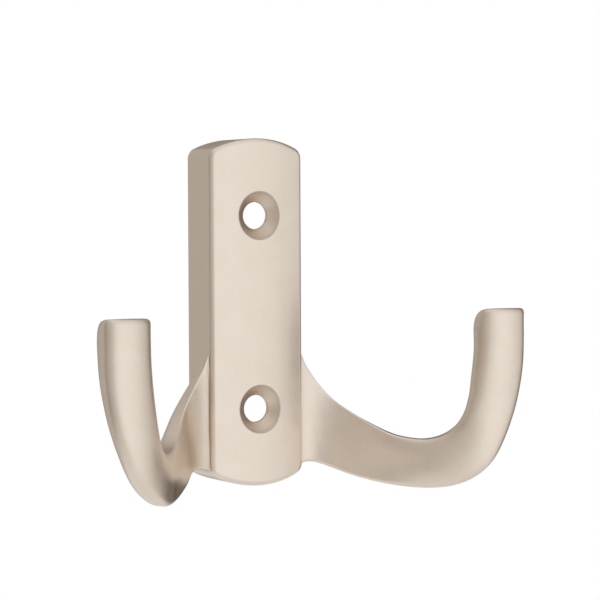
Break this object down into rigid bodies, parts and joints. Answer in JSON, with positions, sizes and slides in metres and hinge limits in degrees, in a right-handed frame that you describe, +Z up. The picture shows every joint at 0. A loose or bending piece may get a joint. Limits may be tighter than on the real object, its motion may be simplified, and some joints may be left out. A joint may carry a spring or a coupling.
{
  "type": "double robe hook",
  "caption": "One-piece cast wall hook: a narrow crowned back plate with countersunk screw holes and a curved flat hook on each side, for hanging robes, towels or coats.",
  "frame": {"origin": "midway between the two screw holes, on the wall plane at the back rim", "axes": "+X to the right seen from the front, +Y into the wall, +Z up"},
  "size_m": [0.075, 0.0329, 0.0579],
  "materials": {
    "satin_nickel": "satin nickel plating with a warm champagne tone, fine matte grain"
  },
  "bodies": {
    "root": {"hook_body": "satin_nickel"}
  },
  "joints": []
}
